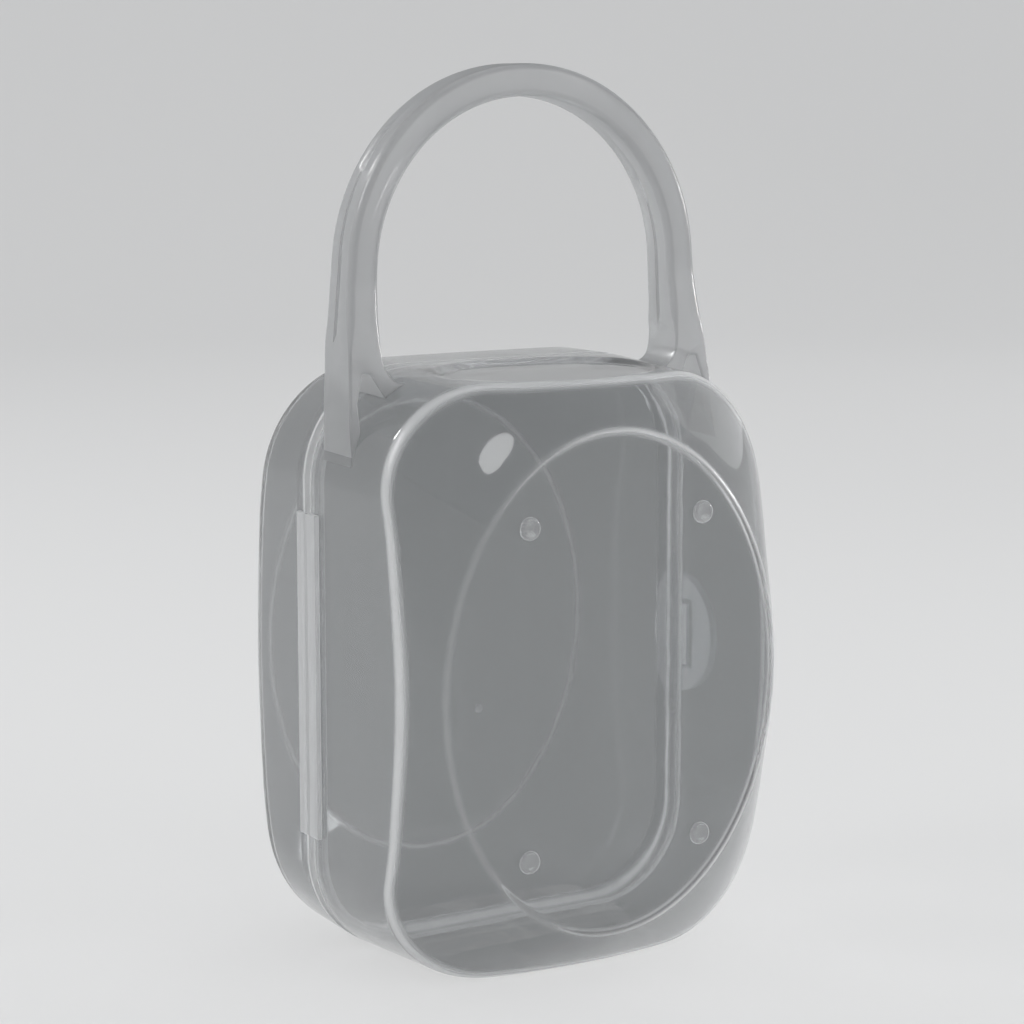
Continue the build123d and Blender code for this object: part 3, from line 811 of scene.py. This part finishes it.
def film_surface(low, high, steps):
    """A thin film: rectangles in X and Z carried along the depth in even steps."""
    x = np.array([low[0], high[0], high[0], low[0]])
    z = np.array([low[2], low[2], high[2], high[2]])
    y = np.linspace(low[1], high[1], steps)[:, None]
    return tube(np.stack(np.broadcast_arrays(x, y, z), -1))


# ---------------------------------------------------------------- materials


class Value:
    """A shader socket that takes part in Python sums; each operator adds its Math node."""

    def __init__(self, graph, socket):
        self.graph, self.socket = graph, socket

    def _math(self, operation, first, second):
        return self.graph.node("Math", {"operation": operation}, {0: first, 1: second})

    def __add__(self, other):
        return self._math("ADD", self, other)

    def __mul__(self, other):
        return self._math("MULTIPLY", self, other)

    __radd__ = __add__
    __rmul__ = __mul__


class Graph:
    """A material's node tree."""

    def __init__(self, name):
        self.material = bpy.data.materials.new(name)
        self.material.use_nodes = True
        self.tree = self.material.node_tree
        self.tree.nodes.clear()

    def node(self, kind, settings=None, sockets=None, output=0):
        """Adds a node: its settings come first, then the values or links of its sockets."""
        made = self.tree.nodes.new("ShaderNode" + kind)
        for key, value in (settings or {}).items():
            setattr(made, key, value)
        for key, value in (sockets or {}).items():
            if isinstance(value, Value):
                self.tree.links.new(value.socket, made.inputs[key])
            else:
                made.inputs[key].default_value = value
        return Value(self, made.outputs[output])

    def mix(self, share, first, second):
        """Mixes two shaders: none of the second at a share of 0, all of it at 1."""
        return self.node("MixShader", {}, {0: share, 1: first, 2: second})

    def mix_colours(self, share, first, second):
        """Mixes two colours: a Mix node takes them at its inputs 6 and 7 and gives them at output 2."""
        return self.node("Mix", {"data_type": "RGBA"}, {0: share, 6: first, 7: second}, 2)

    def finish(self, shader):
        """Links the last shader to the output and gives the material."""
        end = self.tree.nodes.new("ShaderNodeOutputMaterial")
        self.tree.links.new(shader.socket, end.inputs["Surface"])
        return self.material


def clear_plastic(name, tint, milk_tint, roughness, haze, glow, edge_haze_and_highlight, ripple):
    """Moulded clear polypropylene: a glass-like body mixed with a milky one.

    Roughness is its base plus broad cloudy patches and fine scuffs; the tint greys a little along the
    flow lines; the bump is a low ripple of the mould plus fine grain. The milky share is its base,
    clouded a little and up to six times as much where a wall is seen edge on, plus the piece's own
    point attribute, which is rougher too: partly real milkiness of the plastic and partly painted
    highlight, bright lines laid along rims, oval edges and seams. Of the milky light, glow is the
    share that comes through from behind. A lamp's light passes through at 0.89.
    """
    g = Graph(name)
    place = g.node("TexCoord", output="Object")
    cloud = g.node("TexNoise", {}, {"Vector": place, "Scale": 38.0, "Detail": 3.0, "Roughness": 0.5})
    fine = g.node("TexNoise", {}, {"Vector": place, "Scale": 900.0, "Detail": 2.0, "Roughness": 0.6})
    stretch = g.node("Mapping", {}, {"Vector": place, "Scale": (260.0, 260.0, 22.0)})
    scuff = g.node("TexNoise", {}, {"Vector": stretch, "Scale": 1.0, "Detail": 4.0, "Roughness": 0.65})
    marks = g.node("MapRange", {"clamp": True}, {
        "Value": scuff, "From Min": 0.6, "From Max": 0.8, "To Min": 0.0, "To Max": 1.0,
    })
    # painted highlight: this attribute is partly real milkiness and partly bright lines painted along
    # rims, oval edges and seams
    thick = g.node("Attribute", {"attribute_name": "milk_and_highlight"}, output="Fac")
    rough = roughness + 0.018 * cloud + 0.01 * fine + 0.035 * marks + 0.15 * thick
    shade = g.mix_colours(0.7 * cloud + 0.3 * scuff, opaque(tint), opaque(tint, 0.93))
    relief = g.node(
        "Bump", {}, {"Height": ripple * cloud + 0.012 * fine, "Distance": 0.0004, "Strength": 0.35}
    )
    body = g.node("BsdfPrincipled", {}, {
        "Base Color": shade, "Roughness": rough, "IOR": 1.49, "Transmission Weight": 1.0,
        "Normal": relief,
    })
    milky = g.node("BsdfPrincipled", {}, {
        "Base Color": g.mix_colours(cloud, opaque(milk_tint), opaque(milk_tint, 0.95)),
        "Roughness": rough + 0.15, "IOR": 1.49, "Normal": relief,
    })
    through = g.node("BsdfTranslucent", {}, {"Color": opaque(milk_tint)})
    facing = g.node("LayerWeight", {}, {"Blend": 0.5}, output="Facing")
    longer = 1.0 + 5.0 * facing * facing * facing
    # the attribute's share adds milkiness and painted highlight lines
    share = haze * (0.6 + 0.8 * cloud) * longer + edge_haze_and_highlight * thick
    plastic = g.mix(share, body, g.mix(glow, milky, through))
    lit = g.node("BsdfTransparent", {}, {"Color": (0.89, 0.89, 0.89, 1.0)})
    return g.finish(g.mix(g.node("LightPath", output="Is Shadow Ray"), plastic, lit))


def finishes(context):
    """The case's finishes, made once."""
    p = context.scene.case_finish
    made = {}
    # the seventh column sets how much of the point attribute shows: milkiness and painted highlight lines
    for name, tint, milk_tint, roughness, haze, glow, edge_haze_and_highlight, ripple in (
        ("clear_wall", p.wall_colour, p.milk_colour, p.wall_roughness, 0.035, 0.45, 1.0, 1.0),
        ("clear_band", p.handle_colour, p.latch_colour, p.wall_roughness, 0.06, 0.45, 0.95, 0.8),
        ("clear_edge", p.handle_colour, p.hinge_milk, p.handle_roughness, 0.45, 0.5, 0.0, 0.8),
        ("clear_pip", p.handle_colour, p.milk_colour, p.handle_roughness, 0.2, 0.4, 0.0, 0.5),
        ("clear_handle", p.handle_colour, p.handle_milk, p.handle_roughness, 0.52, 0.6, 0.0, 0.8),
        ("satin_latch", p.handle_colour, p.latch_colour, p.latch_roughness, 0.95, 0.85, 0.0, 0.5),
    ):
        found = bpy.data.materials.get(name)
        made[name] = found or clear_plastic(
            name, tint, milk_tint, roughness, haze, glow, edge_haze_and_highlight, ripple
        )
    return SimpleNamespace(**made)


# ---------------------------------------------------------------- stage


def studio_floor(scene, pale):
    """A round floor that rises at its edge by a quarter of an ellipse.

    Seen directly, in a reflection or through clear plastic, 0.55 of it is a plain glow of its colour.
    """
    flat, sweep, height, around = 1.2, 0.9, 1.17, 96
    g = Graph("studio_floor")
    paint = g.node("BsdfDiffuse", {}, {"Color": pale})
    glow = g.node("Emission", {}, {"Color": pale, "Strength": 0.9})
    seen = g.node("LightPath", output="Is Camera Ray") + g.node("LightPath", output="Is Glossy Ray")
    seen = seen + g.node("LightPath", output="Is Transmission Ray")
    seen = g.node("Math", {"operation": "MINIMUM"}, {0: seen, 1: 0.55})
    g.finish(g.mix(seen, paint, glow))
    turn = np.linspace(0, 2 * pi, around, endpoint=False)
    share = np.linspace(0, pi / 2, 24)
    radius = np.concatenate([[0.0005, 0.4, 0.9], flat + sweep * np.sin(share)])[:, None]
    rise = np.concatenate([[0, 0, 0], height * (1 - np.cos(share))])[:, None]
    rings = np.stack(np.broadcast_arrays(radius * np.cos(turn), radius * np.sin(turn), rise), -1)
    mesh = bpy.data.meshes.new("studio_floor")
    faces = grid_faces(len(rise), around, wrap_columns=True)
    mesh.from_pydata(rings.reshape(-1, 3), [], faces.tolist() + [list(range(around))])
    mesh.shade_smooth()
    mesh.materials.append(g.material)
    floor = bpy.data.objects.new("studio_floor", mesh)
    scene.collection.objects.link(floor)


def studio_light(scene, p):
    """Even light from all round and seven soft lamps aimed at the case.

    A lamp has its place, width and height, share of the power, spread and roll in degrees.
    """
    world = bpy.data.worlds.new("studio_air")
    world.use_nodes = True
    air = world.node_tree.nodes["Background"].inputs
    air["Color"].default_value = opaque(p.air_colour)
    air["Strength"].default_value = p.air_strength
    scene.world = world
    aim = Vector((0, 0, 0.07))
    for name, place, size, share, spread, roll in (
        ("window_lamp", (-0.21, -0.80, 0.97), (0.10, 0.42), 0.1, 180, -39),
        ("left_lamp", (-1.0, 0.15, 0.85), (0.6, 0.6), 1.3, 180, 0),
        ("front_lamp", (0.6, -1.0, 0.35), (0.8, 0.8), 0.25, 90, 0),
        ("corner_lamp", (-0.51, 0.81, 0.72), (0.16, 0.16), 0.4, 180, 0),
        ("right_lamp", (1.08, -0.36, 0.24), (0.35, 0.17), 0.13, 60, 0),
        ("rear_lamp", (1.0, 0.35, 0.65), (1.0, 1.0), 0.35, 180, 0),
        ("top_lamp", (0.15, 0.1, 1.15), (0.6, 0.6), 0.35, 180, 0),
    ):
        lamp = bpy.data.lights.new(name, "AREA")
        lamp.shape = "ELLIPSE"
        lamp.size, lamp.size_y = size
        lamp.energy = p.lamp_power * share
        lamp.spread = radians(spread)
        lamp_object = bpy.data.objects.new(name, lamp)
        lamp_object.location = place
        turned = (aim - Vector(place)).to_track_quat("-Z", "Y") @ Quaternion((0, 0, 1), radians(roll))
        lamp_object.rotation_euler = turned.to_euler()
        scene.collection.objects.link(lamp_object)


def studio_camera(scene, p):
    """A camera that looks at its target from its distance, azimuth and elevation."""
    camera = bpy.data.cameras.new("camera")
    camera.sensor_width = 36
    camera.lens = p.lens
    camera.clip_start, camera.clip_end = 0.01, 20
    view = bpy.data.objects.new("camera", camera)
    level = cos(p.elevation)
    back = Vector((sin(p.azimuth) * level, -cos(p.azimuth) * level, sin(p.elevation)))
    view.location = Vector(p.target) + back * p.distance
    view.rotation_euler = (-back).to_track_quat("-Z", "Y").to_euler()
    scene.collection.objects.link(view)
    scene.camera = view


# ---------------------------------------------------------------- operators


class BuildShells(bpy.types.Operator):
    """Build the front and back shells and the seal lip between them"""

    bl_idname = "sterilizer_case.shells"
    bl_label = "Shells and seal lip"

    def execute(self, context):
        s, m = sizes_mm(context), finishes(context)
        for name, side, body, node in (
            ("front_half", FRONT, "front_case", "front_shell"),
            ("back_half", BACK, "back_case", "back_shell"),
        ):
            points, faces, milk_and_highlight = shell_surface(s, side)
            make_piece(name, points, faces, body, "pp_wall", m.clear_wall, [node], crease=50, milk_and_highlight=milk_and_highlight)
        points, faces, milk_and_highlight = band_surface(s)
        make_piece("seal_band", points, faces, "back_case", "pp_edge", m.clear_band, ["seal_lip"],
                   milk_and_highlight=milk_and_highlight)
        return {"FINISHED"}


class BuildHandle(bpy.types.Operator):
    """Build the arched carry handle with its two forked feet"""

    bl_idname = "sterilizer_case.handle"
    bl_label = "Carry handle"

    def execute(self, context):
        s, m = sizes_mm(context), finishes(context)
        make_piece("carry_handle", *handle_surface(s), "front_case", "pp_handle", m.clear_handle,
                   ["handle_arch", "handle_foot_left", "handle_foot_right"], crease=40)
        return {"FINISHED"}


class BuildButtons(bpy.types.Operator):
    """Build the four rest pips and the gate mark"""

    bl_idname = "sterilizer_case.buttons"
    bl_label = "Rest pips and gate mark"

    def execute(self, context):
        s, m = sizes_mm(context), finishes(context)
        pip_x, pip_z, gate_x, gate_drop = 17.8, 28.9, 11.0, 18.1
        r = s.pip_radius
        profile = [
            (0.05, -0.02), (r - 0.05, -0.02), (r, 0.05), (r, 0.3), (r - 0.08, 0.5), (r - 0.3, 0.66),
            (r - 0.6, 0.69), (r - 0.9, 0.6), (r - 1.3, 0.52), (0.05, 0.5),
        ]
        for name, x, z in (
            ("top_left", -1, 1), ("top_right", 1, 1), ("bottom_left", -1, -1), ("bottom_right", 1, -1),
        ):
            centre = (x * pip_x, s.seam_y - s.front_depth, s.middle + z * pip_z)
            make_piece("rest_pip_" + name, *lathe(profile, centre, FRONT), "front_case", "pp_wall",
                       m.clear_pip, ["pip_" + name])
        gate = [
            (0.05, -1.22), (0.4, -1.22), (0.55, -1.1), (0.6, -0.4), (0.88, -0.1), (0.9, 0.0), (0.84, 0.25),
            (0.7, 0.48), (0.45, 0.58), (0.05, 0.6),
        ]
        centre = (gate_x, s.seam_y + s.back_depth, s.middle - gate_drop)
        make_piece("gate_nub", *lathe(gate, centre, BACK, 32), "back_case", "pp_wall", m.satin_latch,
                   ["gate_mark"])
        return {"FINISHED"}


class BuildHinge(bpy.types.Operator):
    """Build the two hinge leaves and the bending film between them"""

    bl_idname = "sterilizer_case.hinge"
    bl_label = "Living hinge"

    def execute(self, context):
        s, m = sizes_mm(context), finishes(context)
        thick, lower, rounding = 0.8, 0.9, 0.22
        film_out, film_in, overlap, shy = 0.02, 0.3, 0.3, 0.2
        front_leaf, back_leaf = (-5.0, -1.8), (-1.4, 1.9)
        middle = s.case_height / 2 - lower
        low, high = middle - s.hinge_length / 2, middle + s.hinge_length / 2
        side = -s.case_width / 2
        out = side - thick
        for name, body, node, (start, end), sunk in (
            ("hinge_bar_front", "front_case", "hinge_leaf_front", front_leaf, 0.1),
            ("hinge_bar_back", "back_case", "hinge_leaf_back", back_leaf, 0.02),
        ):
            bar = round_block(
                (out, s.seam_y + start, low), (side + sunk, s.seam_y + end, high), rounding
            )
            make_piece(name, *bar, body, "pp_edge", m.clear_edge, [node])
        edge_front, edge_back = s.seam_y + front_leaf[1], s.seam_y + back_leaf[0]
        film = film_surface(
            (out + film_out, edge_front - overlap, low + shy),
            (out + film_in, edge_back + overlap, high - shy), 17,
        )
        make_piece("hinge_web", *film, None, "pp_edge", m.clear_edge, ["hinge_film"], blend=(
            "front_case", "back_case", (out, edge_front, middle), (out, edge_back, middle)))
        return {"FINISHED"}


class BuildLatch(bpy.types.Operator):
    """Build the half-moon snap latch, its film, its pad and the catch"""

    bl_idname = "sterilizer_case.latch"
    bl_label = "Snap latch"

    def execute(self, context):
        s, m = sizes_mm(context), finishes(context)
        make_piece("latch_half_moon", *tongue_surface(s), "latch", "pp_latch", m.satin_latch,
                   ["latch_tongue", "latch_rim"])
        make_piece("latch_lens", *pad_surface(s), "back_case", "pp_latch", m.satin_latch, ["latch_pad"])
        side, middle = s.case_width / 2, s.latch_middle
        tongue_edge, pad_edge, overlap = s.seam_y + 0.2, s.seam_y + 1.0, 0.2
        thick, film_half = 0.3, 10.0
        catch_front, catch_back, catch_half = s.seam_y - 4.0, s.seam_y - 2.0, 6.0
        sunk, proud, rounding = 0.16, 0.45, 0.2
        film = film_surface(
            (side + s.latch_lift, tongue_edge - overlap, middle - film_half),
            (side + s.latch_lift + thick, pad_edge + overlap, middle + film_half), 13,
        )
        make_piece("latch_web", *film, None, "pp_latch", m.satin_latch, ["latch_film"], blend=(
            "back_case", "latch", (side, pad_edge, middle), (side, tongue_edge, middle)))
        catch = round_block(
            (side - sunk, catch_front, middle - catch_half),
            (side + proud, catch_back, middle + catch_half), rounding,
        )
        make_piece("catch_rib", *catch, "front_case", "pp_latch", m.satin_latch, ["catch_bar"])
        return {"FINISHED"}


class BuildStage(bpy.types.Operator):
    """Build the pale floor, the soft lamps and the camera"""

    bl_idname = "sterilizer_case.stage"
    bl_label = "Floor, lamps and camera"

    def execute(self, context):
        p = context.scene.case_stage
        scene = context.scene
        studio_floor(scene, opaque(p.floor_colour))
        studio_light(scene, p)
        studio_camera(scene, p)
        scene.view_settings.view_transform = "Standard"
        return {"FINISHED"}


class CasePanel(bpy.types.Panel):
    """Lists the steps that build the case"""

    bl_idname = "VIEW3D_PT_sterilizer_case"
    bl_label = "Sterilizer Case"
    bl_space_type = "VIEW_3D"
    bl_region_type = "UI"
    bl_category = "Sterilizer Case"

    def draw(self, context):
        for operator in OPERATORS:
            self.layout.operator(operator.bl_idname)
        for group in ("case_sizes", "case_finish", "case_stage"):
            box = self.layout.box()
            data = getattr(context.scene, group)
            for name, prop in data.bl_rna.properties.items():
                if prop.type == "FLOAT":
                    box.prop(data, name)


GROUPS = {"case_sizes": CaseSizes, "case_finish": CaseFinish, "case_stage": StageSettings}
OPERATORS = (BuildShells, BuildHandle, BuildButtons, BuildHinge, BuildLatch, BuildStage)


def register():
    for cls in (*GROUPS.values(), *OPERATORS, CasePanel):
        bpy.utils.register_class(cls)
    for name, group in GROUPS.items():
        setattr(bpy.types.Scene, name, PointerProperty(type=group))


def unregister():
    for name in GROUPS:
        delattr(bpy.types.Scene, name)
    for cls in reversed((*GROUPS.values(), *OPERATORS, CasePanel)):
        bpy.utils.unregister_class(cls)


def main():
    register()
    for operator in OPERATORS:
        family, step = operator.bl_idname.split(".")
        getattr(getattr(bpy.ops, family), step)()


if __name__ == "__main__":
    main()
